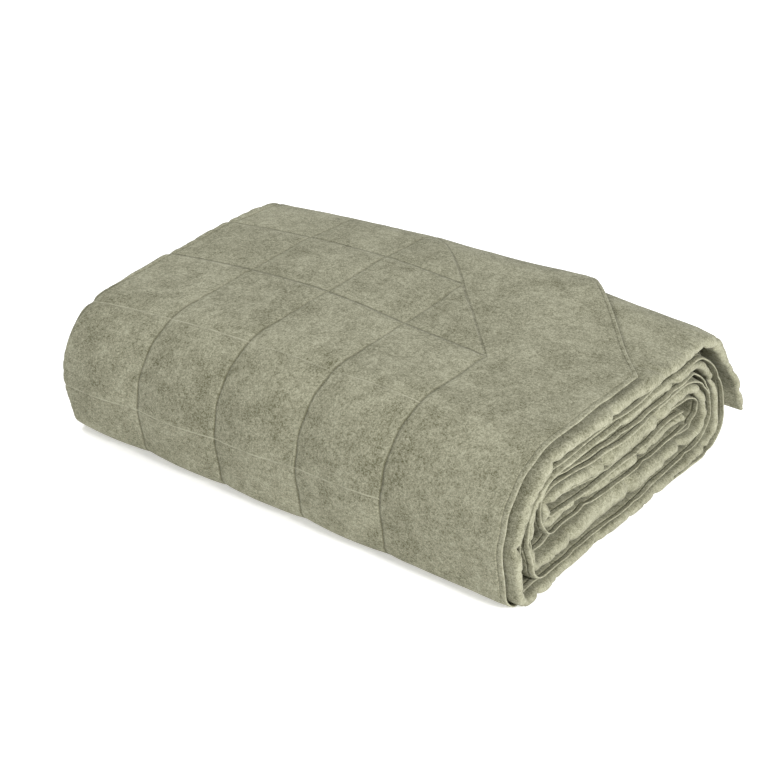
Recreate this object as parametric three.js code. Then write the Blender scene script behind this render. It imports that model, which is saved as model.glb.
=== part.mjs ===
// A quilt of thin quilted cotton, folded for the shelf. Millimetres, +Z up,
// origin at the centre of the floor under the pack.
//
// The cloth is one sheet. Across its width (along X) it is pleated into four
// layers, a zigzag with its folds at the two ends, and that four-layer strip
// is rolled up flat along its length (in the YZ plane) in three turns.
// The outermost layer shows a hem on the right end and a corner cut at 45 degrees.

import * as THREE from 'three';
import { mergeVertices } from 'three/addons/utils/BufferGeometryUtils.js';

// The cloth
const CLOTH = 4.2; // thickness of the quilted cloth
const COLUMN = 116; // pitch of the stitched columns, measured along X
const ROW = 120; // pitch of the stitched rows, measured along the cloth
const BORDER = 160; // plain border between the right hem and the stitched squares
const END_BORDER = 154; // and at the hanging hem
const STITCH_IN = 7; // distance from the hem's edge to its stitch line
const TROUGH = 1.3; // how far a stitched line is drawn in
const CROWN = 1.2; // how far a stitched square puffs out
const SHOULDER = 10; // half the width of a stitched line's trough
const ROW_SHOULDER = (SHOULDER * ROW) / COLUMN;

// The pack
const LENGTH = 2898; // of the cloth, along the roll
const RIGHT = 315; // X of the outer hem on the right end
const LEFT_FRONT = -310; // X of the left folds at the front
const LEFT_BACK = -330; // X of the left folds at the back
const FRONT = -245; // Y of the front, for the left end's slant
const BACK = 235; // Y of the back, for the left end's slant
const PLEAT_DEPTH = 7; // how far a right-hand fold rounds out along X, at most

// Outer face of the strip in the roll's section: corners with their fillet radii
const SECTION = [
  { name: 'hang', y: 233, z: 25, radius: 0 },
  { name: 'back1', y: 233, z: 178, radius: 103 },
  { name: 'front1', y: -259, z: 178, radius: 98 },
  { name: 'foot1', y: -231, z: 0, radius: 27 },
  { name: 'heel1', y: 206.5, z: 0, radius: 45 },
  { name: 'back2', y: 206.5, z: 148, radius: 75 },
  { name: 'front2', y: -224, z: 148, radius: 69 },
  { name: 'foot2', y: -204, z: 25.5, radius: 26 },
  { name: 'heel2', y: 182.5, z: 25.5, radius: 40 },
  { name: 'back3', y: 182.5, z: 121, radius: 48 },
  { name: 'front3', y: -178, z: 121, radius: 27 },
  { name: 'foot3', y: -182, z: 65.5, radius: 25 },
  { name: 'core', y: 150, z: 65.5, radius: 0 },
];

// The strip along the roll, a row for each corner and each flat stretch after it:
// depth = all four layers, foldOut and foldIn = outer and inner face of the fold
// between layers 2 and 3 at the right end, then how far each layer reaches past
// the outer hem's X: hem (layer 1), fold (layers 2 and 3), inner (layer 4)
const STRIP = [
  { at: 'hang', depth: 21, foldOut: 5.4, foldIn: 15.6, hem: 0, fold: 5, inner: -45 },
  { at: 'back1', depth: 24, foldOut: 5.6, foldIn: 18, hem: 0, fold: 6, inner: -20 },
  { at: 'after back1', depth: 28, foldOut: 5.8, foldIn: 20, hem: -3, fold: 11, inner: 8 },
  { at: 'front1', depth: 28, foldOut: 5.8, foldIn: 20, hem: 0, fold: 14, inner: 8 },
  { at: 'foot1', depth: 22, foldOut: 5.5, foldIn: 16, hem: 0, fold: 13, inner: 6 },
  { at: 'after foot1', depth: 24, foldOut: 5.6, foldIn: 18, hem: 0, fold: 8, inner: -4 },
  { at: 'heel1', depth: 21.5, foldOut: 5.4, foldIn: 15.6, hem: 0, fold: 2, inner: -8 },
  { at: 'back2', depth: 22, foldOut: 5.4, foldIn: 15.8, hem: 2, fold: 2, inner: -4 },
  { at: 'after back2', depth: 25.5, foldOut: 5.6, foldIn: 19, hem: 9, fold: 2, inner: 5 },
  { at: 'front2', depth: 21, foldOut: 5.4, foldIn: 15.8, hem: 10, fold: 6, inner: 0 },
  { at: 'foot2', depth: 24, foldOut: 5.4, foldIn: 18, hem: 12, fold: 8, inner: -4 },
  { at: 'after foot2', depth: 38.5, foldOut: 5.6, foldIn: 32, hem: 10, fold: 8, inner: -8 },
  { at: 'heel2', depth: 21.5, foldOut: 5.4, foldIn: 15.8, hem: 2, fold: 0, inner: -8 },
  { at: 'back3', depth: 24, foldOut: 5.4, foldIn: 18, hem: 0, fold: 0, inner: -4 },
  { at: 'after back3', depth: 33.5, foldOut: 5.6, foldIn: 27.5, hem: 7, fold: 6, inner: -2 },
  { at: 'front3', depth: 22, foldOut: 5.4, foldIn: 16, hem: 2, fold: 6, inner: 0 },
  { at: 'foot3', depth: 21, foldOut: 5.4, foldIn: 15.7, hem: 6, fold: 2, inner: 4 },
  { at: 'after foot3', depth: 20.6, foldOut: 5.3, foldIn: 15.3, hem: 8, fold: 2, inner: 4 },
  { at: 'core', depth: 20.6, foldOut: 5.3, foldIn: 15.3, hem: 2, fold: -2, inner: -4 },
];

// The pack sinks towards its left end, and its back sinks or stands up a little
const SINK_LEFT = [
  { x: -330, factor: 0.835 },
  { x: -193, factor: 0.95 },
  { x: -77, factor: 1 },
];
const SINK_BACK = [
  { x: -193, factor: 0.06 },
  { x: -77, factor: 0.045 },
  { x: 155, factor: -0.025 },
  { x: 293, factor: -0.015 },
  { x: 345, factor: 0 },
];
const SINK_BACK_FROM = 10; // Y where the back starts to sink
const SINK_BACK_OVER = 170; // and over how far it does
// The left end bulges above the floor
const BULGE = [
  { x: -330, by: 9 },
  { x: -193, by: 0 },
];
const BULGE_HEIGHT = 110;
// The back leans inwards towards the right end, in mm per mm of height
const LEAN = [
  { x: -77, by: 0 },
  { x: 155, by: 0.04 },
  { x: 293, by: 0.18 },
  { x: 345, by: 0.2 },
];
const LEAN_ABOVE = 20; // height from which the back leans
const LEAN_FADES = 110; // height from which it leans less
const LEAN_FADE = 0.78; // by how much
const LEAN_FADE_OVER = 68; // and over how far
const LEAN_FROM = -100; // Y where the lean starts
const LEAN_OVER = 250; // and over how far it grows
// The hanging end stands off towards the right, less and less over a length of cloth
const FLARE = [
  { x: -77, by: 0 },
  { x: 155, by: 5 },
  { x: 293, by: 26 },
  { x: 315, by: 27 },
];
const FLARE_LENGTH = 102;
// Rows of stitches drift along the cloth towards the left end
const DRIFT = [
  { s: 0, by: 0 },
  { s: 154, by: -8 },
  { s: 274, by: -10 },
  { s: 394, by: -14 },
  { s: 514, by: 8 },
  { s: 634, by: 12 },
  { s: 994, by: 0 },
];

const smooth = (t) => {
  const c = Math.min(1, Math.max(0, t));
  return c * c * (3 - 2 * c);
};

// Value at x in a table of rows, linear or eased between the rows
function lookUp(table, keyName, valueName, x, ease) {
  if (x <= table[0][keyName]) return table[0][valueName];
  for (let i = 1; i < table.length; i += 1) {
    const a = table[i - 1];
    const b = table[i];
    if (x <= b[keyName]) {
      const t = (x - a[keyName]) / (b[keyName] - a[keyName]);
      return THREE.MathUtils.lerp(a[valueName], b[valueName], ease ? smooth(t) : t);
    }
  }
  return table[table.length - 1][valueName];
}

// The section's path: straight stretches and arcs, in a list with the length at
// which each starts, and the length at each named place
function filletedPath(corners) {
  const pieces = [];
  const places = { [corners[0].name]: 0 };
  let from = new THREE.Vector2(corners[0].y, corners[0].z);
  let length = 0;
  const addLine = (to, name) => {
    const along = to.clone().sub(from);
    const size = along.length();
    places[`after ${name}`] = length + size / 2;
    pieces.push({ start: length, size, from: from.clone(), along: along.normalize() });
    length += size;
  };
  for (let i = 1; i < corners.length - 1; i += 1) {
    const { name, y, z, radius } = corners[i];
    const corner = new THREE.Vector2(y, z);
    const before = new THREE.Vector2(corners[i - 1].y, corners[i - 1].z);
    const after = new THREE.Vector2(corners[i + 1].y, corners[i + 1].z);
    const a = corner.clone().sub(before).normalize();
    const b = after.sub(corner).normalize();
    const turn = Math.atan2(a.cross(b), a.dot(b));
    const cut = radius * Math.tan(turn / 2);
    addLine(corner.clone().addScaledVector(a, -cut), corners[i - 1].name);
    const inward = new THREE.Vector2(-a.y, a.x);
    const centre = corner.clone().addScaledVector(a, -cut).addScaledVector(inward, radius);
    const size = radius * turn;
    const angle = Math.atan2(-inward.y, -inward.x);
    pieces.push({ start: length, size, centre, radius, angle });
    places[name] = length + size / 2;
    length += size;
    from = corner.addScaledVector(b, cut);
  }
  const last = corners[corners.length - 1];
  addLine(new THREE.Vector2(last.y, last.z), corners[corners.length - 2].name);
  places[last.name] = length;
  return { pieces, places, length };
}

// Point on the path at a length s, and the unit normal into the roll
function onPath(path, s) {
  const piece = path.pieces.find((p) => s <= p.start + p.size) ?? path.pieces.at(-1);
  const d = s - piece.start;
  if (piece.along) {
    return {
      point: piece.from.clone().addScaledVector(piece.along, d),
      normal: new THREE.Vector2(-piece.along.y, piece.along.x),
    };
  }
  const angle = piece.angle + d / piece.radius;
  const out = new THREE.Vector2(Math.cos(angle), Math.sin(angle));
  return {
    point: piece.centre.clone().addScaledVector(out, piece.radius),
    normal: out.negate(),
  };
}

const path = filletedPath(SECTION);
const strip = STRIP.map((row) => ({ ...row, s: path.places[row.at] }));

// Rows of stitches that show, counted from the hanging hem
const rows = [0, 1, 2, 3, 4].map((k) => END_BORDER + k * ROW);
const cornerRow = rows[2]; // where the stitched squares' own corner is cut
const lastColumn = RIGHT - BORDER;
const slope = COLUMN / ROW;

// X at which the inner layers bend with the pack
const WITHIN = [-193, -77, 155, 293];
const cutStart = cornerRow - BORDER * Math.tan(Math.PI / 8);

// X of the outer hem and of the last stitched line, both cut at 45 degrees
// near the corner
const hemX = (s) => RIGHT - Math.max(0, cutStart - s) * slope;
const lastLineX = (s) => lastColumn - Math.max(0, cornerRow - Math.max(s, rows[0])) * slope;

const leftX = (y) => THREE.MathUtils.mapLinear(y, FRONT, BACK, LEFT_FRONT, LEFT_BACK);

// Across the strip: stations of X on the outer layer, from the hem to the left fold.
// Those of the squares stop at the last stitched line, where they run together.
function outerLayer(s, left) {
  const hem = hemX(s) + lookUp(strip, 's', 'hem', s, true);
  const line = lastLineX(s);
  const inSquares = (x, kind) => (x > line - 1e-6 ? { x: line, kind: 'line' } : { x, kind });
  const stations = [
    { x: hem, kind: 'plain' },
    { x: hem - STITCH_IN, kind: 'hem' },
    { x: THREE.MathUtils.lerp(hem, line, 0.4), kind: 'plain' },
    { x: line + SHOULDER, kind: 'plain' },
    { x: line, kind: 'line' },
  ];
  for (let k = 0; k < 3; k += 1) {
    const x = lastColumn - k * COLUMN;
    stations.push(inSquares(x - SHOULDER, 'beside'));
    stations.push(inSquares(x - COLUMN / 2, 'middle'));
    stations.push(inSquares(x - COLUMN + SHOULDER, 'beside'));
    stations.push(inSquares(x - COLUMN, 'line'));
  }
  const lastX = lastColumn - 3 * COLUMN;
  stations.push({ x: lastX - SHOULDER, kind: 'beside' });
  stations.push({ x: (lastX + left) / 2, kind: 'middle' });
  return stations;
}

// How far each of the four layers lies into the strip, at the right end as the
// table says and evenly spread further in
function layerDepths(s, x) {
  const depth = lookUp(strip, 's', 'depth', s, true);
  const foldOut = lookUp(strip, 's', 'foldOut', s, true);
  const foldIn = lookUp(strip, 's', 'foldIn', s, true);
  const half = CLOTH / 2;
  const atEnd = [half, foldOut + half, foldIn - half, depth - half];
  const inside = smooth((RIGHT - 20 - x) / 120);
  return atEnd.map((n, k) => THREE.MathUtils.lerp(n, half + ((depth - CLOTH) * k) / 3, inside));
}

// One line of the cloth across the strip: points with X, depth n into the strip
// and the direction (dx, dn) of the cloth's outer side
function acrossStrip(s) {
  const { point } = onPath(path, s);
  const left = leftX(point.x);
  const foldEnd = RIGHT + lookUp(strip, 's', 'fold', s, true);
  const innerEnd = RIGHT + lookUp(strip, 's', 'inner', s, true);
  const inLeft = layerDepths(s, left);
  const line = [];
  const run = (layer, xs, dn) => {
    xs.forEach((x) => line.push({ x, n: layerDepths(s, x)[layer], dx: 0, dn }));
  };
  const turnLeft = (a, b) => {
    const radius = (b - a) / 2;
    [60, 120].forEach((degrees) => {
      const angle = THREE.MathUtils.degToRad(degrees);
      line.push({
        x: left + CLOTH / 2 + radius * (1 - Math.sin(angle)),
        n: (a + b) / 2 - radius * Math.cos(angle),
        dx: -Math.sin(angle),
        dn: -Math.cos(angle),
      });
    });
  };
  outerLayer(s, left).forEach((station) => {
    const n = layerDepths(s, station.x)[0];
    line.push({ ...station, n, dx: 0, dn: -1, outer: true });
  });
  const firstTurn = left + (inLeft[1] - inLeft[0] + CLOTH) / 2;
  line.push({ x: firstTurn, n: layerDepths(s, firstTurn)[0], dx: 0, dn: -1 });
  turnLeft(inLeft[0], inLeft[1]);
  const [, second, third] = layerDepths(s, foldEnd);
  const reach = Math.min(PLEAT_DEPTH, (third - second) / 2);
  const foldX = foldEnd - CLOTH / 2 - reach;
  run(1, [firstTurn, ...WITHIN, foldX], 1);
  [60, 120].forEach((degrees) => {
    const angle = THREE.MathUtils.degToRad(degrees);
    const half = (third - second) / 2;
    const out = new THREE.Vector2(half * Math.sin(angle), -reach * Math.cos(angle)).normalize();
    line.push({
      x: foldX + reach * Math.sin(angle),
      n: (second + third) / 2 - half * Math.cos(angle),
      dx: -out.x,
      dn: -out.y,
    });
  });
  const lastTurn = left + (inLeft[3] - inLeft[2] + CLOTH) / 2;
  run(2, [foldX, ...WITHIN.toReversed(), lastTurn], -1);
  turnLeft(inLeft[2], inLeft[3]);
  run(3, [lastTurn, ...WITHIN.map((x) => Math.min(x, innerEnd - 10)), innerEnd], 1);
  return line;
}

// The pack's own unevenness: it sinks, leans and bulges, and its hanging end stands off
function settle(x, y, z, s) {
  const left = lookUp(SINK_LEFT, 'x', 'factor', x, false);
  const sinkBack = lookUp(SINK_BACK, 'x', 'factor', x, false);
  const sunk = left * (1 - sinkBack * smooth((y - SINK_BACK_FROM) / SINK_BACK_OVER));
  const flare = Math.max(0, 1 - s / FLARE_LENGTH) * lookUp(FLARE, 'x', 'by', x, false);
  const height = z * sunk;
  const fade = 1 - LEAN_FADE * smooth((height - LEAN_FADES) / LEAN_FADE_OVER);
  const inBack = THREE.MathUtils.clamp((y - LEAN_FROM) / LEAN_OVER, 0, 1);
  const lean = lookUp(LEAN, 'x', 'by', x, false) * (height - LEAN_ABOVE) * fade * inBack;
  const bulge = lookUp(BULGE, 'x', 'by', x, false) * smooth(height / BULGE_HEIGHT);
  return new THREE.Vector3(x - bulge, y + flare - lean, height);
}

// Stations along the cloth: at each stitched row and beside it, round each turn
// and on the flat stretches
function alongCloth() {
  const stations = [
    { s: 0, kind: 'plain' },
    { s: STITCH_IN, kind: 'hem' },
    { s: 52, kind: 'plain' },
    { s: 102, kind: 'plain' },
    { s: rows[0] - ROW_SHOULDER, kind: 'plain' },
  ];
  rows.forEach((s, k) => {
    stations.push({ s, kind: 'line' });
    stations.push({ s: s + ROW_SHOULDER, kind: 'beside' });
    if (k === rows.length - 1) return;
    const inside = s > rows[0] && s <= cornerRow ? [1 / 2] : [1 / 3, 2 / 3];
    inside.forEach((part) => stations.push({ s: s + ROW * part, kind: 'middle' }));
    stations.push({ s: s + ROW - ROW_SHOULDER, kind: 'beside' });
  });
  const flat = (s) => stations.push({ s, kind: 'plain' });
  const round = (name, steps, first = 0) => {
    const place = path.places[name];
    const arc = path.pieces.find((p) => p.radius && place > p.start && place < p.start + p.size);
    for (let i = first; i <= steps; i += 1) flat(arc.start + (arc.size * i) / steps);
  };
  round('foot1', 3);
  flat(path.places['after foot1']);
  round('heel1', 3);
  round('back2', 4);
  flat(path.places['after back2'] - ROW / 2);
  flat(path.places['after back2']);
  round('front2', 4);
  round('foot2', 3);
  flat(path.places['after foot2']);
  round('heel2', 3);
  round('back3', 3);
  flat(path.places['after back3']);
  round('front3', 3);
  round('foot3', 3, 1);
  flat(path.places['after foot3']);
  flat(LENGTH);
  return stations;
}

// How far the outer side of a station stands in or out of the plain cloth
function relief(row, station) {
  if (!station.outer || row.s > rows[4] + ROW) return 0;
  const inSquares = row.s >= rows[0] && station.x <= lastLineX(row.s);
  if (inSquares && (row.kind === 'line' || station.kind === 'line')) return -TROUGH;
  if (inSquares) return row.kind === 'middle' && station.kind === 'middle' ? CROWN : 0;
  return row.kind === 'hem' || station.kind === 'hem' ? -TROUGH / 2 : 0;
}

// The whole cloth: its outer side and its inner side as one closed surface
function quiltGeometry() {
  const along = alongCloth();
  const sides = [[], []];
  let width = 0;
  along.forEach((row) => {
    const line = acrossStrip(row.s);
    width = line.length;
    line.forEach((station) => {
      const drift = lookUp(DRIFT, 's', 'by', row.s, false) * smooth((165 - station.x) / 300);
      const { point, normal } = onPath(path, Math.max(0, row.s + drift));
      [1, -1].forEach((side, k) => {
        const off = side * (CLOTH / 2) + (k === 0 ? relief(row, station) : 0);
        const x = station.x + station.dx * off;
        const n = station.n + station.dn * off;
        sides[k].push(settle(x, point.x + normal.x * n, point.y + normal.y * n, row.s));
      });
    });
  });
  const count = along.length;
  const points = [...sides[0], ...sides[1]];
  const at = (side, i, j) => side * sides[0].length + i * width + j;
  const index = [];
  const quad = (a, b, c, d) => index.push(a, b, c, a, c, d);
  for (let i = 0; i < count - 1; i += 1) {
    for (let j = 0; j < width - 1; j += 1) {
      // the same diagonal in every layer, whichever way the layer runs
      const rightward = sides[0][j + 1].x > sides[0][j].x;
      const outer = [at(0, i, j), at(0, i, j + 1), at(0, i + 1, j + 1), at(0, i + 1, j)];
      const inner = [at(1, i, j), at(1, i + 1, j), at(1, i + 1, j + 1), at(1, i, j + 1)];
      if (rightward) [outer, inner].forEach((corners) => corners.push(corners.shift()));
      quad(...outer);
      quad(...inner);
    }
    quad(at(0, i, 0), at(0, i + 1, 0), at(1, i + 1, 0), at(1, i, 0));
    const last = width - 1;
    quad(at(0, i, last), at(1, i, last), at(1, i + 1, last), at(0, i + 1, last));
  }
  for (let j = 0; j < width - 1; j += 1) {
    const end = count - 1;
    quad(at(0, 0, j), at(1, 0, j), at(1, 0, j + 1), at(0, 0, j + 1));
    quad(at(0, end, j), at(0, end, j + 1), at(1, end, j + 1), at(1, end, j));
  }
  const geometry = new THREE.BufferGeometry().setFromPoints(points);
  geometry.setIndex(index);
  const middle = new THREE.Box3().setFromPoints(points).getCenter(new THREE.Vector3());
  geometry.translate(-middle.x, -middle.y, 0);
  return withoutSlivers(mergeVertices(geometry, 1e-3));
}

// Where stations run together, a triangle may have two corners in one point
function withoutSlivers(geometry) {
  const index = Array.from(geometry.index.array);
  const kept = [];
  for (let i = 0; i < index.length; i += 3) {
    const [a, b, c] = index.slice(i, i + 3);
    if (a !== b && b !== c && c !== a) kept.push(a, b, c);
  }
  geometry.setIndex(kept);
  return geometry;
}

const cotton = new THREE.MeshStandardMaterial({ color: 0xa0a087, roughness: 0.92, metalness: 0 });

const quilt = new THREE.Mesh(quiltGeometry(), cotton);
quilt.name = 'quilt';

const model = new THREE.Group();
model.name = 'folded_quilt';
model.add(quilt);

export default model;
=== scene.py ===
"""A thin stone-washed cotton quilt, pleated and rolled up flat into a pack.

The cloth is one sheet, worked out in millimetres as a function of two flat
cloth coordinates: `along`, the distance from the hanging hem, and a station
across the strip, from the hem on the right end through four pleated layers.
"""

import logging
import math
from dataclasses import dataclass, field
from enum import Enum
from typing import NamedTuple

import bmesh
import bpy
import numpy as np
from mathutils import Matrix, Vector


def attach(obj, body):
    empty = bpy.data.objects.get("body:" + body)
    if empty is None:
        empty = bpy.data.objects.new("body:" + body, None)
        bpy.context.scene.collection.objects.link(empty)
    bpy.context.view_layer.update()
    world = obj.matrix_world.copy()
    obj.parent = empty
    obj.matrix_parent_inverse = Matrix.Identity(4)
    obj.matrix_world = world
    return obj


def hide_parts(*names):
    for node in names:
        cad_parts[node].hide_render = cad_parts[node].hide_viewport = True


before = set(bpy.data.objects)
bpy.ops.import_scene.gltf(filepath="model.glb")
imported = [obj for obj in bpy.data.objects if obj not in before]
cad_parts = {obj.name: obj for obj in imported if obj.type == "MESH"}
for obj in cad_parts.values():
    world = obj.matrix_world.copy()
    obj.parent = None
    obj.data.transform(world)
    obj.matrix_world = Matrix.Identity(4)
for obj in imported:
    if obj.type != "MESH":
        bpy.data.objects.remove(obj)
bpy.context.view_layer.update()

LOG = logging.getLogger("quilt")
MM = 0.001
FAR = 1e3  # mm: the distance to a stitched line where there is none
RIM_ANGLE = 1.2  # radians: sharper edges than this, as where two lengths meet, stay sharp
MERGE = 1e-5  # metres: points closer than this become one
NO_LENGTH = 1e-6  # metres: edges shorter than this are dissolved
LATTICE = 256  # points along each side of a wave's lattice
LATTICE_OFFSET = (31.7, 17.3)  # where the cloth's corner lies on it

Array = np.ndarray
Socket = bpy.types.NodeSocket
Colour = tuple[float, float, float]


def smooth(t: Array) -> Array:
    """Ease from 0 to 1: 3t^2 - 2t^3, held at its ends.

    Args:
        t: Any numbers.

    Returns:
        The eased numbers, the same shape.
    """
    c = np.clip(t, 0.0, 1.0)
    return c * c * (3.0 - 2.0 * c)


def eased(keys: Array, values: Array, at: Array) -> Array:
    """Table value at `at`, eased between its rows.

    Args:
        keys: Rising keys of the table.
        values: The value at each key.
        at: Where to read it.

    Returns:
        a + (b - a) * smooth(share of the way from one row to the next).
    """
    i = np.clip(np.searchsorted(keys, at, side="right") - 1, 0, len(keys) - 2)
    share = (at - keys[i]) / (keys[i + 1] - keys[i])
    return values[i] + (values[i + 1] - values[i]) * smooth(share)


def ridge(distance: Array, width: float) -> Array:
    """Bell of height 1: exp(-(distance / width)^2)."""
    return np.exp(-((distance / width) ** 2))


@dataclass(frozen=True)
class Wave:
    """Smooth seeded unevenness over the flat cloth.

    Attributes:
        height: Its greatest height, mm.
        size: Distance between the points of its lattice, mm.
        seed: Which lattice of random heights.
    """

    height: float
    size: float
    seed: int

    def at(self, u: Array, v: Array | float = 0.0) -> Array:
        """A square lattice of random heights from -1 to 1, eased between its
        points and multiplied by the height.

        Args:
            u: First flat coordinate, mm.
            v: Second flat coordinate, mm.

        Returns:
            Heights in mm, broadcast from u and v.
        """
        count, (first_u, first_v) = LATTICE, LATTICE_OFFSET
        lattice = np.random.default_rng(self.seed).uniform(-1.0, 1.0, (count, count))
        gu, gv = np.broadcast_arrays(u / self.size + first_u, v / self.size + first_v)
        iu, iv = np.floor(gu).astype(int), np.floor(gv).astype(int)
        tu, tv = smooth(gu - iu), smooth(gv - iv)
        left, right, low, high = iu % count, (iu + 1) % count, iv % count, (iv + 1) % count
        a, b = lattice[left, low], lattice[right, low]
        c, d = lattice[left, high], lattice[right, high]
        return self.height * ((a + (b - a) * tu) * (1 - tv) + (c + (d - c) * tu) * tv)


@dataclass(frozen=True)
class Corner:
    """A corner of the roll's section, rounded.

    Attributes:
        name: What the corner is called in the strip's table.
        y: Depth of the sharp corner, mm.
        z: Height of the sharp corner, mm.
        radius: Fillet radius of the cloth's outer face, mm.
    """

    name: str
    y: float
    z: float
    radius: float


@dataclass
class RollSection:
    """The roll's section in the YZ plane: straight stretches and arcs, wound
    in three turns from the hanging hem to the core."""

    corners: tuple[Corner, ...] = (
        Corner("hang", 233, 25, 0),
        Corner("back1", 233, 178, 103),
        Corner("front1", -259, 178, 98),
        Corner("foot1", -231, 0, 27),
        Corner("heel1", 206.5, 0, 45),
        Corner("back2", 206.5, 148, 75),
        Corner("front2", -224, 148, 69),
        Corner("foot2", -204, 25.5, 26),
        Corner("heel2", 182.5, 25.5, 40),
        Corner("back3", 182.5, 121, 48),
        Corner("front3", -178, 121, 27),
        Corner("foot3", -182, 65.5, 25),
        Corner("core", 150, 65.5, 0),
    )
    places: dict[str, float] = field(default_factory=dict)
    pieces: Array = field(init=False)

    def __post_init__(self) -> None:
        """Work out each stretch: start, length, its point, direction, radius
        and first angle."""
        rows: list[tuple[float, ...]] = []
        here = np.array([self.corners[0].y, self.corners[0].z], float)
        length = 0.0
        self.places[self.corners[0].name] = 0.0

        def straight(to: Array, name: str) -> None:
            """Go on straight to a point.

            Args:
                to: The point.
                name: The corner that the stretch comes after.
            """
            nonlocal here, length
            run = to - here
            size = float(np.hypot(*run))
            self.places[f"after {name}"] = length + size / 2
            rows.append((length, size, *here, *(run / size), 0.0, 0.0))
            length += size
            here = to

        for before, corner, after in zip(self.corners, self.corners[1:], self.corners[2:]):
            point = np.array([corner.y, corner.z], float)
            a = point - (before.y, before.z)
            b = np.array([after.y, after.z]) - point
            a, b = a / np.hypot(*a), b / np.hypot(*b)
            turn = math.atan2(a[0] * b[1] - a[1] * b[0], float(a @ b))
            cut = corner.radius * math.tan(turn / 2)
            straight(point - a * cut, before.name)
            inward = np.array([-a[1], a[0]])
            centre = here + inward * corner.radius
            angle = math.atan2(-inward[1], -inward[0])
            size = corner.radius * turn
            rows.append((length, size, *centre, 0.0, 0.0, corner.radius, angle))
            self.places[corner.name] = length + size / 2
            length += size
            here = point + b * cut
        last = self.corners[-1]
        straight(np.array([last.y, last.z], float), self.corners[-2].name)
        self.places[last.name] = length
        self.pieces = np.array(rows)

    def at(self, along: Array) -> tuple[Array, Array]:
        """Point on the section and the unit normal into the roll.

        On a straight stretch the point is start + direction * d. On an arc it
        is centre + radius * (cos a, sin a), with a = first angle + d / radius.

        Args:
            along: Distance from the hanging hem, mm.

        Returns:
            Points and normals as (..., 2) arrays of Y and Z.
        """
        i = np.clip(np.searchsorted(self.pieces[:, 0], along, side="right") - 1, 0, None)
        row = self.pieces[i]
        d = along - row[..., 0]
        base, run, radius = row[..., 2:4], row[..., 4:6], row[..., 6]
        curved = radius > 0
        a = row[..., 7] + d / np.where(curved, radius, 1.0)
        out = np.stack([np.cos(a), np.sin(a)], axis=-1)
        on_arc = base + radius[..., None] * out
        on_line = base + d[..., None] * run
        across = np.stack([-run[..., 1], run[..., 0]], axis=-1)
        bent = curved[..., None]
        return np.where(bent, on_arc, on_line), np.where(bent, -out, across)


class StripRow(NamedTuple):
    """The strip's right end at one place of the section, mm.

    Attributes:
        place: A corner of the section, or the middle after it.
        depth: Thickness of the four layers together.
        fold_out: Depth at which the right-hand fold starts.
        fold_in: Depth at which it ends.
        hem: How far the outer hem stands past the strip's right.
        fold: How far the fold stands past it.
        inner: How far the inner hem stands past it.
    """

    place: str
    depth: float
    fold_out: float
    fold_in: float
    hem: float
    fold: float
    inner: float


@dataclass
class PleatedStrip:
    """Four layers of the cloth, one on another, and how each one ends at the
    right: a hem, a fold that joins the second and third layer, and a hem."""

    section: RollSection
    right: float = 315.0  # X of the outer hem
    rows: tuple[StripRow, ...] = (
        StripRow("hang", 21, 5.4, 15.6, 0, 5, -45),
        StripRow("back1", 24, 5.6, 18, 0, 6, -20),
        StripRow("after back1", 28, 5.8, 20, -3, 11, 8),
        StripRow("front1", 28, 5.8, 20, 0, 14, 8),
        StripRow("foot1", 22, 5.5, 16, 0, 13, 6),
        StripRow("after foot1", 24, 5.6, 18, 0, 8, -4),
        StripRow("heel1", 21.5, 5.4, 15.6, 0, 2, -8),
        StripRow("back2", 22, 5.4, 15.8, 2, 2, -4),
        StripRow("after back2", 25.5, 5.6, 19, 9, 2, 5),
        StripRow("front2", 21, 5.4, 15.8, 10, 6, 0),
        StripRow("foot2", 24, 5.4, 18, 12, 8, -4),
        StripRow("after foot2", 38.5, 5.6, 32, 10, 8, -8),
        StripRow("heel2", 21.5, 5.4, 15.8, 2, 0, -8),
        StripRow("back3", 24, 5.4, 18, 0, 0, -4),
        StripRow("after back3", 33.5, 5.6, 27.5, 7, 6, -2),
        StripRow("front3", 22, 5.4, 16, 2, 6, 0),
        StripRow("foot3", 21, 5.4, 15.7, 6, 2, 4),
        StripRow("after foot3", 20.6, 5.3, 15.3, 8, 2, 4),
        StripRow("core", 20.6, 5.3, 15.3, 2, -2, -4),
    )
    cloth: float = 2.8  # thickness
    pleat_depth: float = 7.0
    # X of the left folds at the pack's front and back, and those two in Y
    left_front: float = -310.0
    left_back: float = -330.0
    front: float = -245.0
    back: float = 235.0
    # the right end's own depths hold this far in, and fade over this much more
    end_reach: float = 20.0
    end_fades: float = 120.0

    def value(self, name: str, along: Array) -> Array:
        """A column of the strip's table, eased along the cloth.

        Args:
            name: The column, a field of StripRow.
            along: Distance from the hanging hem, mm.

        Returns:
            The value in mm at each distance.
        """
        keys = np.array([self.section.places[row.place] for row in self.rows])
        values = np.array([getattr(row, name) for row in self.rows], float)
        return eased(keys, values, along)

    def left(self, along: Array) -> Array:
        """X of the left folds: linear in the depth Y of the section."""
        y = self.section.at(along)[0][..., 0]
        share = (y - self.front) / (self.back - self.front)
        return self.left_front + (self.left_back - self.left_front) * share

    def depth_of(self, layer: int, along: Array, x: Array) -> Array:
        """How far a layer's middle lies into the strip: as the table says at
        the right end, and evenly spread further in.

        Args:
            layer: 0 to 3, from the outside.
            along: Distance from the hanging hem, mm.
            x: X in mm.

        Returns:
            Depth in mm, broadcast from along and x.
        """
        half = self.cloth / 2
        depth = self.value("depth", along)
        at_end = (
            half,
            self.value("fold_out", along) + half,
            self.value("fold_in", along) - half,
            depth - half,
        )[layer]
        inside = smooth((self.right - self.end_reach - x) / self.end_fades)
        even = half + (depth - self.cloth) * layer / 3
        return at_end + (even - at_end) * inside


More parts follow.
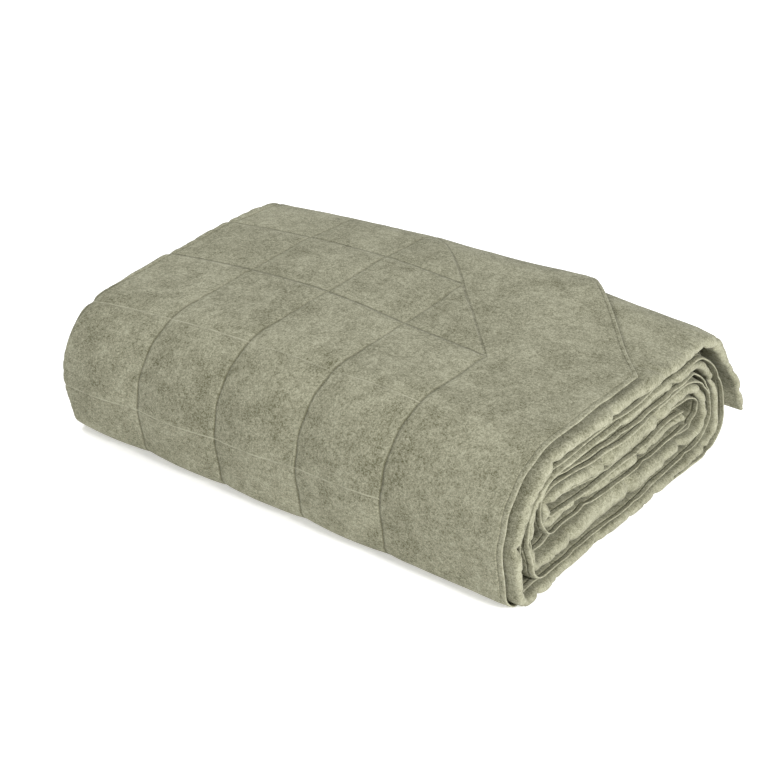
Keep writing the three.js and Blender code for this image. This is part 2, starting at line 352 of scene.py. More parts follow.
@dataclass(frozen=True)
class Crease:
    """Thin creases where an unevenness crosses zero.

    Attributes:
        across: How far the unevenness leans with the distance across.
        along: How far it leans with the distance along.
        width: Where it is smaller than this, from 0 to 1, the cloth is creased.
        wave: The unevenness.
    """

    across: float
    along: float
    width: float
    wave: Wave

    def at(self, across: Array, along: Array) -> Array:
        """max(0, 1 - |unevenness| / width), 1 in the middle of a crease."""
        value = self.wave.at(across * self.across + along * self.along, along)
        return np.maximum(0.0, 1 - np.abs(value) / self.width)


@dataclass(frozen=True)
class Gathers:
    """What the cloth does where it is folded, in mm."""

    reach: float = 34.0  # distance over which it fades
    drawn_out: float = 0.35  # unevenness is drawn out across the fold
    waves: tuple[Wave, ...] = (Wave(0.9, 41.0, 31), Wave(0.5, 15.0, 32))
    creases: tuple[Crease, ...] = (
        Crease(0.45, 0.3, 0.20, Wave(1.0, 30.0, 35)),
        Crease(0.6, -0.4, 0.15, Wave(1.0, 47.0, 36)),
    )
    crease_depth: float = 1.9
    # height and width of a pinch at a row of stitches, and of the rise beside it
    pinch: tuple[float, float] = (3.4, 7.0)
    rise: tuple[float, float] = (0.9, 22.0)
    lowest: float = -2.6
    highest: float = 1.4
    left_share: float = 0.6  # of the right-hand fold's, at the left folds


@dataclass
class Quilting:
    """Stitched lines of the whole cloth in flat coordinates: `across` from the
    outer hem and `along` from the hanging hem, both in mm."""

    column: float = 116.0
    row: float = 120.0
    border: float = 160.0
    end_border: float = 154.0  # the border at the hanging hem
    corner: float = 394.0  # along, where the border line is cut at 45 degrees
    cut_cosine: float = 0.72  # of the cut's angle
    width: float = 2560.0
    length: float = 2898.0
    stitch_in: float = 7.0
    fold_at: float = 1280.0  # across, the right-hand fold
    plain_half: float = 215.0  # no stitched lines show this close to it
    on_line: float = 1e-6  # a point this close to a line is on it
    column_early: float = 0.5  # a column may start this much before the border line
    past_line: float = 25.0  # a line's puckers run on this far past the border
    lowest: float = -1.0
    # along: where the top turns down into the front, and the front's foot
    front_from: float = 430.0
    front_over: float = 110.0
    foot: float = 735.0
    foot_fades: float = 130.0
    foot_share: float = 0.1  # of the bulge that is left at the foot
    # troughs and puffs on the top of the pack and down its front
    row_trough: tuple[float, float] = (0.7, 0.45)
    column_trough: tuple[float, float] = (0.5, 1.1)
    column_puff: tuple[float, float] = (0.9, 3.6)
    square_puff: float = 0.9
    square_rim: float = 40.0
    # bell widths of a trough: its stitches' and that of the dip round them
    row_bells: tuple[float, float] = (2.0, 8.0)
    column_bells: tuple[float, float] = (2.8, 9.0)
    dip_share: float = 0.6
    # puckers beside rows, columns and the cut, each drawn out off its line
    row_pucker: Wave = Wave(0.5, 11.0, 11)
    column_pucker: Wave = Wave(0.5, 13.0, 12)
    cut_pucker: Wave = Wave(0.5, 15.0, 13)
    pucker_reach: float = 10.0
    drawn_out: float = 0.25
    cut_drawn_out: float = 0.2
    # depth and width of the groove and the step at a hem's stitches
    hem_groove: tuple[float, float] = (0.3, 1.5)
    hem_step: tuple[float, float] = (0.25, 2.0)
    hem_ripple: Wave = Wave(0.35, 9.0, 21)
    ripple_reach: float = 14.0
    swells: tuple[Wave, ...] = (Wave(0.45, 42.0, 22), Wave(0.22, 17.0, 23))
    # the first row: depth and width of its trough, how far past it this holds,
    # and where the scallops lie before it, how wide they are and their wave
    first_trough: tuple[float, float] = (1.6, 5.0)
    first_over: float = 60.0
    scallop_before: float = 14.0
    scallop_width: float = 13.0
    scallops: Wave = Wave(1.1, 24.0, 37)
    pinch_mean: float = 0.75
    pinch_wave: Wave = Wave(0.25, 150.0, 33)
    gathered: Gathers = Gathers()

    def cut_start(self) -> float:
        """Where the outer hem's own 45 degree cut starts, along the cloth."""
        return self.corner - self.border * math.tan(math.pi / 8)

    def slope(self) -> float:
        """Across per along on the cut."""
        return self.column / self.row

    def last_line(self, along: Array) -> Array:
        """Distance across of the last stitched line from the outer hem."""
        cut = self.corner - np.maximum(along, self.end_border)
        return self.border + np.maximum(0.0, cut) * self.slope()

    def hem(self, along: Array) -> Array:
        """Distance across at which the cloth starts, cut near the corner."""
        return np.maximum(0.0, self.cut_start() - along) * self.slope()

    def to_nearest_row(self, along: Array) -> Array:
        """Distance to the nearest row of stitches, endless both ways."""
        return np.abs((along - self.end_border + self.row / 2) % self.row - self.row / 2)

    def distances(self, across: Array, along: Array) -> tuple[Array, Array, Array]:
        """Distance to the nearest row, column and border line, mm.

        The nearest row or column is half a pitch minus what is left of the
        coordinate over the pitch, and it counts inside the border only.

        Args:
            across: Flat distance from the outer hem.
            along: Flat distance from the hanging hem.

        Returns:
            Distances to rows, to columns and to the cut border line, FAR
            where there is none.
        """
        line = self.last_line(along)

        def within(a: Array, low: Array | float, high: float, more: float) -> Array:
            """Whether a lies between low and high, or up to `more` outside."""
            return (a > low - more) & (a < high + more)

        last_row, last_column = self.length - self.border, self.width - self.border
        inside_a = within(along, self.end_border, last_row, self.on_line)
        inside_c = within(across, line, last_column, self.on_line)
        near_a = within(along, self.end_border, last_row, self.past_line)
        plain = np.abs(across - self.fold_at) < self.plain_half
        to_row = np.where(inside_c & near_a & ~plain, self.to_nearest_row(along), FAR)
        to_col = np.abs((across - self.border + self.column / 2) % self.column - self.column / 2)
        to_col = np.where(inside_a & (across >= line - self.column_early) & ~plain, to_col, FAR)
        to_cut = np.where(inside_a, np.abs(across - line) * self.cut_cosine, FAR)
        return to_row, to_col, to_cut

    def relief(self, across: Array, along: Array, edge: Array) -> tuple[Array, Array]:
        """How far both faces swell and how far the cloth moves out, mm.

        Each stitched line is a narrow bell-shaped trough with puckers beside
        it that fade with distance. Between two columns the cloth bulges as
        half a sine wave, less near the floor, and each square puffs out a
        little more. Beside a hem lies the groove of its stitches, and across
        the folds run gathers and a pinch at each row of stitches.

        Args:
            across: Flat distance from the outer hem.
            along: Flat distance from the hanging hem.
            edge: Distance to the nearest hem.

        Returns:
            Swelling of each face, and the move out of both, in mm.
        """
        to_row, to_col, to_cut = self.distances(across, along)
        to_line = np.minimum(to_col, to_cut)
        front = smooth((along - self.front_from) / self.front_over)

        def here(pair: tuple[float, float]) -> Array:
            """From the top's value to the front's."""
            return pair[0] + (pair[1] - pair[0]) * front

        def trough(distance: Array, bells: tuple[float, float]) -> Array:
            """The bell of the stitches and that of the dip round them."""
            return ridge(distance, bells[0]) + self.dip_share * ridge(distance, bells[1])

        deep = here(self.column_trough) * trough(to_line, self.column_bells)
        shallow = here(self.row_trough) * trough(to_row, self.row_bells)
        height = -np.maximum(deep, shallow) + self.puckers(across, along, to_row, to_col, to_cut)
        height = height - self.hem_groove[0] * ridge(edge - self.stitch_in, self.hem_groove[1])
        height = height + self.hem_step[0] * smooth((self.stitch_in - edge) / self.hem_step[1])
        ripple = np.exp(-np.maximum(edge, 0) / self.ripple_reach)
        height = height + self.hem_ripple.at(across, along) * ripple
        for swell in self.swells:
            height = height + swell.at(across, along)
        bulge = np.sin(np.pi * np.minimum(to_col, self.column / 2) / self.column)
        off_floor = smooth((self.foot - along) / self.foot_fades)
        bulge = bulge * (self.foot_share + (1 - self.foot_share) * off_floor)
        square = smooth(to_row / self.square_rim) * smooth(to_col / self.square_rim)
        puff = here(self.column_puff) * bulge + self.square_puff * square
        out = np.where((to_row < FAR) & (to_col < FAR), puff, 0.0)
        out = out + self.gathers(across, along) - self.first_row(across, along, to_row)
        return np.maximum(height, self.lowest), out

    def puckers(
        self, across: Array, along: Array, to_row: Array, to_col: Array, to_cut: Array
    ) -> Array:
        """Puckers beside the stitched lines: unevenness drawn out at a right
        angle to each line, times exp(-distance / reach).

        Args:
            across: Flat distance from the outer hem.
            along: Flat distance from the hanging hem.
            to_row: Distance to the nearest row.
            to_col: Distance to the nearest column.
            to_cut: Distance to the cut border line.

        Returns:
            Their height in mm.
        """
        by_row = self.row_pucker.at(across, along * self.drawn_out)
        by_col = self.column_pucker.at(across * self.drawn_out, along)
        by_cut = self.cut_pucker.at(across + along, (across - along) * self.cut_drawn_out)
        waves = ((by_row, to_row), (by_col, to_col), (by_cut, to_cut))
        return sum(wave * np.exp(-distance / self.pucker_reach) for wave, distance in waves)

    def first_row(self, across: Array, along: Array, to_row: Array) -> Array:
        """Depth of the first row, where the cloth turns over the back edge: a
        bell-shaped trough, and scallops on the border beside it.

        Args:
            across: Flat distance from the outer hem.
            along: Flat distance from the hanging hem.
            to_row: Distance to the nearest row.

        Returns:
            Depth in mm.
        """
        depth, width = self.first_trough
        trough = depth * ridge(to_row, width) * (along < self.end_border + self.first_over)
        before = ridge(along - self.end_border + self.scallop_before, self.scallop_width)
        return trough + np.where(to_row < FAR, before, 0.0) * self.scallops.at(across)

    def gathers(self, across: Array, along: Array) -> Array:
        """Gathers of the folds: unevenness drawn out across the fold, thin
        creases, and a V-shaped pinch at each row of stitches, all fading with
        distance. The outer face is on the inside of the right-hand fold, so it
        moves the other way there.

        Args:
            across: Flat distance from the outer hem.
            along: Flat distance from the hanging hem.

        Returns:
            The move out of both faces, mm.
        """
        g = self.gathered
        off_fold = np.abs(across - self.fold_at)
        right = np.exp(-off_fold / g.reach)
        left = np.exp(-np.abs(off_fold - self.width / 4) / g.reach)
        height = sum(wave.at(across * g.drawn_out, along) for wave in g.waves)
        height = height + g.rise[0] * self.pinch(along, g.rise[1])
        height = height - g.crease_depth * sum(crease.at(across, along) for crease in g.creases)
        height = height - g.pinch[0] * self.pinch(along, g.pinch[1])
        return (g.left_share * left - right) * np.clip(height, g.lowest, g.highest)

    def pinch(self, along: Array, width: float) -> Array:
        """1 on a row of stitches, falling evenly to 0 at its width; the
        strength differs from row to row."""
        strength = self.pinch_mean + self.pinch_wave.at(along)
        return strength * np.maximum(0.0, 1 - self.to_nearest_row(along) / width)


@dataclass
class Settling:
    """How the pack sinks, leans and bulges as a whole, in mm and shares."""

    # height is multiplied by this at each x
    sink_x: tuple[float, ...] = (-330, -193, -77)
    sink: tuple[float, ...] = (0.835, 0.95, 1.0)
    # the left end bulges out, all of it from this height on
    bulge_x: tuple[float, ...] = (-330, -193)
    bulge: tuple[float, ...] = (9, 0)
    bulge_height: float = 110.0
    # the back sinks by this share at each x, from and over these depths
    back_x: tuple[float, ...] = (-193, -77, 155, 293, 345)
    back: tuple[float, ...] = (0.06, 0.040, -0.030, -0.015, 0.03)
    back_from: float = 10.0
    back_over: float = 170.0
    # the hanging end flares out by this at its hem, and less above it
    flare_x: tuple[float, ...] = (-77, 155, 293, 315)
    flare: tuple[float, ...] = (0, 5, 26, 27)
    flare_length: float = 102.0
    # the pack leans forward by this much per height at each x
    lean_x: tuple[float, ...] = (-77, 155, 293, 345)
    lean: tuple[float, ...] = (0, 0.04, 0.18, 0.20)
    lean_above: float = 20.0
    lean_fades: float = 110.0  # height from which the lean fades
    lean_faded: float = 68.0  # over this much more height
    lean_lost: float = 0.78
    lean_from: float = -100.0
    lean_over: float = 250.0
    # the middle of the even roll, which comes to lie over the origin
    middle_x: float = -4.518
    middle_y: float = 5.662

    def place(self, x: Array, y: Array, z: Array, along: Array) -> Array:
        """Settle points of the even roll into the pack.

        Height is multiplied by the sink at x and by one minus the back's sink
        eased over y; the hanging end moves out linearly towards its hem, and
        the rest leans forward in proportion to its height.

        Args:
            x: X of the even roll, mm.
            y: Y of the even roll, mm.
            z: Z of the even roll, mm.
            along: Distance from the hanging hem, mm.

        Returns:
            Points in metres, (..., 3).
        """
        left = np.interp(x, self.sink_x, self.sink)
        back = np.interp(x, self.back_x, self.back)
        z = z * (left * (1 - back * smooth((y - self.back_from) / self.back_over)))
        flare = np.maximum(0.0, 1 - along / self.flare_length)
        flare = flare * np.interp(x, self.flare_x, self.flare)
        lean = np.interp(x, self.lean_x, self.lean) * (z - self.lean_above)
        lean = lean * np.clip((y - self.lean_from) / self.lean_over, 0, 1)
        lean = lean * (1 - self.lean_lost * smooth((z - self.lean_fades) / self.lean_faded))
        bulge = np.interp(x, self.bulge_x, self.bulge) * smooth(z / self.bulge_height)
        x, y = x - bulge - self.middle_x, y + flare - lean - self.middle_y
        return np.stack(np.broadcast_arrays(x, y, z), axis=-1) * MM


class Stretch(Enum):
    """Parts of a line across the strip, from the outer hem to the inner one."""

    OUTER = 0
    LEFT_TURN = 1
    SECOND = 2
    RIGHT_FOLD = 3
    THIRD = 4
    SECOND_TURN = 5
    INNER = 6


Station = tuple[Stretch, float]
LAYERS = (Stretch.OUTER, Stretch.SECOND, Stretch.THIRD, Stretch.INNER)


class Columns:
    """Stations across the strip, close together at hems and folds, in mm from
    a layer's end, or in degrees round a turn."""

    HEM = (0.0, 0.15, 0.6, 1.3, 2.3, 3.8, 5.3, 6.1, 7.0, 7.9, 8.8, 10.5, 13.0)
    NEAR = (1.5, 3.5, 6.0, 9.0, 12.5, 17.0, 23.0, 31.0, 42.0, 57.0, 78.0, 105.0)
    PAST_HEM = NEAR[5:]
    TURN = (0.0, 18.0, 36.0, 54.0, 72.0, 90.0, 108.0, 126.0, 144.0, 162.0, 180.0)
    LAST = 0.001  # the last station before a turn
    SEAM = 40.0  # where the outer lengths meet the inner ones, on the second layer
    FINE_END = 640.0
    FINE_CLOSE = (24.0, 21.0, 18.0, 15.0, 12.0, 9.0, 6.0, 3.0, LAST)
    COARSE = tuple(float(w) for w in range(140, 620, 34))
    COARSE_CLOSE = (14.0, 6.0, LAST)
    PAST_TURN = (5.0, 14.0, SEAM)
    MIDDLE = tuple(float(w) for w in range(150, 591, 55))

    @staticmethod
    def fine_outer(quilting: Quilting, steps: int) -> list[Station]:
        """The outer layer from hem to left turn, evenly close with a station
        on each stitched column, and the second layer as far as the seam.

        Args:
            quilting: Where the stitched columns are.
            steps: Stations from one column to the next.

        Returns:
            The stations.
        """
        last, border = Columns.HEM[-1], quilting.border
        pitch = quilting.column / steps
        count = round((border - last) / pitch)
        run = [float(w) for w in np.linspace(last, border, count + 1)[1:]]
        run += [float(w) for w in np.arange(border + pitch, Columns.FINE_END, pitch)]
        return Columns.outer(run, Columns.FINE_CLOSE)

    @staticmethod
    def coarse_outer() -> list[Station]:
        """The outer layer where only its hem and its left turn show."""
        return Columns.outer([*Columns.PAST_HEM, *Columns.COARSE], Columns.COARSE_CLOSE)

    @staticmethod
    def outer(run: list[float], close: tuple[float, ...]) -> list[Station]:
        """Hem, a run of stations, those close to the left turn, the turn, and
        the second layer as far as the seam.

        Args:
            run: Distances from the hem, past the hem's own stations.
            close: Distances from the left turn.

        Returns:
            The stations.
        """
        stations = [(Stretch.OUTER, w) for w in (*Columns.HEM, *run)]
        stations += [(Stretch.OUTER, -w) for w in close]
        stations += [(Stretch.LEFT_TURN, a) for a in Columns.TURN[1:]]
        return stations + [(Stretch.SECOND, -w) for w in Columns.PAST_TURN]

    @staticmethod
    def inner() -> list[Station]:
        """From the seam on the second layer, through the right-hand fold, the
        third layer and the second left turn, to the inner hem."""
        layer = Columns.NEAR + Columns.MIDDLE
        inner = Columns.HEM + Columns.PAST_HEM + Columns.MIDDLE
        stations = [(Stretch.SECOND, -Columns.SEAM)]
        stations += [(Stretch.SECOND, w) for w in layer[-2::-1]]
        stations += [(Stretch.RIGHT_FOLD, a) for a in Columns.TURN]
        stations += [(Stretch.THIRD, w) for w in layer]
        stations += [(Stretch.THIRD, -Columns.LAST)]
        stations += [(Stretch.SECOND_TURN, a) for a in Columns.TURN[1:]]
        return stations + [(Stretch.INNER, w) for w in inner[-2::-1]]


@dataclass
class Middle:
    """The middle of the cloth, or one station of it.

    Attributes:
        x: X in mm.
        n: Depth into the roll from its outer face, mm.
        dx: The outer face's direction in X.
        dn: The outer face's direction in depth.
    """

    x: Array
    n: Array
    dx: Array | float
    dn: Array | float


@dataclass
class LayerEnds:
    """Where the hems and folds are on rows of the cloth, each (rows, 1), mm.

    Attributes:
        along: Distances from the hanging hem.
        under: 0 on the top and front, 1 from the foot on.
        lefts: X of the two left folds.
        left_depths: Depth of each layer's middle there.
        turn_x: X where the flat layers start, after each left fold.
        ends: X of each layer's right-hand end.
        fold_end: X of the right-hand fold.
        fold_middle: Depth of its middle.
        fold_half: Half its depth.
        reach: How far it bulges out in X.
        sway: How far each layer's end and the fold wander in depth.
    """

    along: Array
    under: Array
    lefts: list[Array]
    left_depths: list[Array]
    turn_x: list[Array]
    ends: tuple[Array, Array, Array, Array]
    fold_end: Array
    fold_middle: Array
    fold_half: Array
    reach: Array
    sway: list[Array]


@dataclass(frozen=True)
class Wandering:
    """How far hems and folds wander from a straight line, in mm."""

    # height and size of the waves, and depth and width of a nick at each row
    slow: tuple[float, float] = (2.8, 66.0)
    quick: tuple[float, float] = (1.1, 21.0)
    nick: tuple[float, float] = (5.0, 12.0)
    nick_share: float = 0.3  # at the hems and the left folds
    left_seeds: tuple[int, int] = (61, 63)
    hem_seed: int = 41
    fold_seed: int = 43
    inner_seed: int = 47
    # along: where the cloth goes under the pack, where the fold's nicks start,
    # and over how much each eases in
    under_from: float = 760.0
    nicks_from: float = 330.0
    eases_over: float = 60.0
    more_under: float = 0.35
    # the floor takes this share of the waves, round this place, this wide
    pressed: tuple[float, float, float] = (0.65, 960.0, 210.0)
    # the outer hem is drawn in by this, round this place, this wide
    drawn_in: tuple[float, float, float] = (7.0, 150.0, 55.0)
    # the waves in depth: of all layers, and of the outer and inner hem
    sway: Wave = Wave(1.8, 58.0, 55)
    hem_sways: tuple[tuple[Wave, Wave], ...] = (
        (Wave(1.1, 26.0, 51), Wave(0.9, 95.0, 56)),
        (Wave(1.1, 26.0, 54), Wave(0.9, 95.0, 59)),
    )
    sway_reach: float = 30.0
    # where it stands past the fold, the outer hem tucks in
    tuck: float = 0.35
    tuck_most: float = 12.0
    # the cut corner's edge stands up: height, place, width, and reach inwards
    lift: tuple[float, float, float] = (5.0, 158.0, 60.0)
    lift_reach: float = 75.0


@dataclass
class Faces:
    """Both faces of a length of cloth and what its material needs to know.

    Attributes:
        outer: Points of the outer face, (rows, columns, 3), metres.
        inner: Points of the inner face, the same.
        flat: Flat coordinates across and along, (rows, columns, 2), metres.
        hem: Distance to the nearest hem, (rows, columns), metres.
    """

    outer: Array
    inner: Array
    flat: Array
    hem: Array


@dataclass
class FoldedCloth:
    """The whole quilt as a function of along and a station across the strip."""

    section: RollSection
    strip: PleatedStrip
    quilting: Quilting
    settling: Settling
    wandering: Wandering = Wandering()
    # left of the middle the rows of stitches drift along the roll
    drift_at: tuple[float, ...] = (0, 154, 274, 394, 514, 634, 994)
    drift: tuple[float, ...] = (0, 6, -8, -14, 8, 12, 0)
    drift_from: float = 165.0
    drift_over: float = 300.0
    # how far each layer's stations keep from its left turn
    clear: tuple[float, float, float, float] = (26.0, 45.0, 12.0, 12.0)
    # a hem's thickness as a share, and over how much it grows to the whole
    hem_thin: float = 0.55
    hem_over: float = 16.0

    def edge_wave(self, along: Array, seed: int, nick: Array | float) -> Array:
        """Unevenness of an edge in X: slow and quick waves, less a V-shaped
        nick at each row of stitches.

        Args:
            along: Distances from the hanging hem, mm.
            seed: Of the slow wave; the quick one has the next.
            nick: Share of the nick's whole depth.

        Returns:
            The edge's move out, mm.
        """
        w = self.wandering
        waves = Wave(*w.slow, seed).at(along) + Wave(*w.quick, seed + 1).at(along)
        return waves - w.nick[0] * nick * self.quilting.pinch(along, w.nick[1])

    def ends(self, along: Array) -> LayerEnds:
        """Where the hems and folds are: the strip's table plus the waves.

        Args:
            along: Distances from the hanging hem, mm, (rows,).

        Returns:
            The ends of all layers on each row.
        """
        s, strip, w = along[:, None], self.strip, self.wandering
        half = strip.cloth / 2
        lefts = [strip.left(s) - self.edge_wave(s, seed, w.nick_share) for seed in w.left_seeds]
        depths = [strip.depth_of(k, s, lefts[0]) for k in range(4)]
        turn_x = [lefts[k] + (depths[2 * k + 1] - depths[2 * k]) / 2 + half for k in range(2)]
        under = smooth((s - w.under_from) / w.eases_over)
        share, place, width = w.pressed
        free = 1 - share * ridge(s - place, width)
        wider = (1 + w.more_under * under) * free
        hem = strip.right - self.quilting.hem(s) + strip.value("hem", s)
        hem = hem + self.edge_wave(s, w.hem_seed, under * w.nick_share)
        draw, place, width = w.drawn_in
        hem = hem - draw * ridge(s - place, width)
        nicks = smooth((s - w.nicks_from) / w.eases_over)
        fold_end = strip.right + strip.value("fold", s)
        fold_end = fold_end + self.edge_wave(s, w.fold_seed, nicks) * wider
        inner = strip.right + strip.value("inner", s)
        inner = inner + self.edge_wave(s, w.inner_seed, w.nick_share) * wider
        second, third = strip.depth_of(1, s, fold_end), strip.depth_of(2, s, fold_end)
        fold_half = (third - second) / 2
        reach = np.minimum(strip.pleat_depth, fold_half)
        fold_x = fold_end - half - reach
        sway = w.sway.at(s) * free
        outer_sway, inner_sway = (sum(wave.at(s) for wave in pair) + sway for pair in w.hem_sways)
        return LayerEnds(
            s, under, lefts, depths, turn_x, (hem, fold_x, fold_x, inner),
            fold_end, (second + third) / 2, fold_half, reach,
            [v * under for v in (outer_sway, sway, sway, inner_sway)],
        )

    def on_turn(self, ends: LayerEnds, turn: int, angle: float) -> Middle:
        """A station on a left fold: a half circle from layer to layer.

        Args:
            ends: Where the folds are.
            turn: 0 for the first left fold, 1 for the second.
            angle: Degrees round the half circle.

        Returns:
            The station: (1 - sin a, -cos a) times the radius from the middle.
        """
        a = math.radians(angle)
        first, second = ends.left_depths[2 * turn : 2 * turn + 2]
        radius = (second - first) / 2
        x = ends.lefts[turn] + self.strip.cloth / 2 + radius * (1 - math.sin(a))
        return Middle(x, (first + second) / 2 - radius * math.cos(a), -math.sin(a), -math.cos(a))

    def on_fold(self, ends: LayerEnds, angle: float) -> Middle:
        """A station on the right-hand fold: half an ellipse, whose outer face
        is the inner one of the fold.

        Args:
            ends: Where the folds are.
            angle: Degrees round the half ellipse.

        Returns:
            The station: (reach sin a, -half cos a) from the fold's middle.
        """
        a = math.radians(angle)
        half, reach = ends.fold_half, ends.reach
        long = np.hypot(half * math.sin(a), reach * math.cos(a))
        n = ends.fold_middle - half * math.cos(a) + ends.sway[1]
        x = ends.ends[1] + reach * math.sin(a)
        return Middle(x, n, -half * math.sin(a) / long, reach * math.cos(a) / long)

    def on_layer(self, ends: LayerEnds, layer: int, where: float) -> Middle:
        """A station on a flat layer.

        Args:
            ends: Where the layer ends.
            layer: 0 to 3, from the outside.
            where: Distance from its right-hand end, or if negative from its
                left-hand end, mm.

        Returns:
            The station. What the layer wanders in depth fades from its end
            inwards as exp(-distance / reach), and the cut corner's edge stands
            up as a bell along the hem times a bell inwards.
        """
        low, high, w = ends.turn_x[layer // 2], ends.ends[layer], self.wandering
        past_hem = Columns.HEM[-1]
        if where < 0:
            x = low - where
        elif layer == 0 and where > past_hem:
            x = np.minimum(self.strip.right - where, high - past_hem)
            x = np.maximum(x, low + self.clear[layer])
        else:
            x = np.maximum(high - where, low + self.clear[layer])
        n = self.strip.depth_of(layer, ends.along, x)
        if layer == 0:
            n = n + w.tuck * np.clip(x - ends.fold_end, 0, w.tuck_most) * ends.under
            height, place, width = w.lift
            standing = height * ridge(ends.along - place, width)
            n = n - standing * ridge(np.maximum(high - x, 0), w.lift_reach)
        n = n + ends.sway[layer] * np.exp(-np.maximum(high - x, 0) / w.sway_reach)
        return Middle(x, n, 0.0, -1.0 if layer in (0, 2) else 1.0)

    def line(self, along: Array, stations: list[Station]) -> Middle:
        """Middle of the cloth for rows of `along` and columns of stations.

        A station on a layer is a signed distance in mm: from its right-hand
        end when it is 0 or more, and from its left-hand end when negative.
        On a turn it is an angle in degrees, 0 to 180.

        Args:
            along: Distances from the hanging hem, mm, (rows,).
            stations: The columns.

        Returns:
            Points and directions as (rows, columns) arrays.
        """
        ends = self.ends(along)
        parts = []
        for stretch, where in stations:
            if stretch is Stretch.RIGHT_FOLD:
                parts.append(self.on_fold(ends, where))
            elif stretch in LAYERS:
                parts.append(self.on_layer(ends, LAYERS.index(stretch), where))
            else:
                parts.append(self.on_turn(ends, int(stretch is Stretch.SECOND_TURN), where))

        def beside(name: str) -> Array:
            """One value of all stations, column beside column."""
            values = [np.broadcast_to(getattr(part, name), ends.along.shape) for part in parts]
            return np.concatenate(values, axis=1)

        return Middle(*(beside(name) for name in ("x", "n", "dx", "dn")))

    def sides(self, along: Array, stations: list[Station]) -> Faces:
        """Outer and inner face of the cloth and its flat coordinates.

        Each face is the middle, moved along (dx, dn) by half the thickness and
        the quilting's swelling, out for the one and in for the other face, and
        by the quilting's move for both. At a hem the cloth thins and ends as a
        half circle. The middle lies on the section at along + drift, at depth
        n on its normal.

        Args:
            along: Distances from the hanging hem, mm, (rows,).
            stations: The columns across the strip.

        Returns:
            The two faces.
        """
        mid = self.line(along, stations)
        s = along[:, None] + 0 * mid.x
        drift = np.interp(s, self.drift_at, self.drift)
        drift = drift * smooth((self.drift_from - mid.x) / self.drift_over)
        on, normal = self.section.at(np.maximum(0.0, s + drift))
        quilting, half = self.quilting, self.strip.cloth / 2
        step = np.hypot(np.diff(mid.x, axis=1), np.diff(mid.n, axis=1))
        across = np.concatenate([np.zeros((len(along), 1)), np.cumsum(step, axis=1)], axis=1)
        edge = np.minimum(s, quilting.length - s)
        if stations[0] == (Stretch.OUTER, 0.0):
            edge = np.minimum(edge, across)
            across = across + (quilting.hem(along) - self.strip.value("hem", along))[:, None]
        else:
            fold = stations.index((Stretch.RIGHT_FOLD, 90.0))
            edge = np.minimum(edge, across[:, -1:] - across)
            across = across + quilting.fold_at - across[:, fold : fold + 1]
        rounded = np.sqrt(np.clip(1 - (1 - np.clip(edge / half, 0, 1)) ** 2, 0, 1))
        grown = smooth(edge / self.hem_over)
        rounded = rounded * (self.hem_thin + (1 - self.hem_thin) * grown)
        swell, out = quilting.relief(across, s, edge)
        faces = []
        for side in (1.0, -1.0):
            off = side * (half + swell) * rounded + out
            x, n = mid.x + mid.dx * off, mid.n + mid.dn * off
            y = on[..., 0] + normal[..., 0] * n
            z = on[..., 1] + normal[..., 1] * n
            points = self.settling.place(x, y, z, s)
            points[..., 2] = np.maximum(points[..., 2], 0.0)
            faces.append(points)
        return Faces(faces[0], faces[1], np.stack([across, s], axis=-1) * MM, edge * MM)


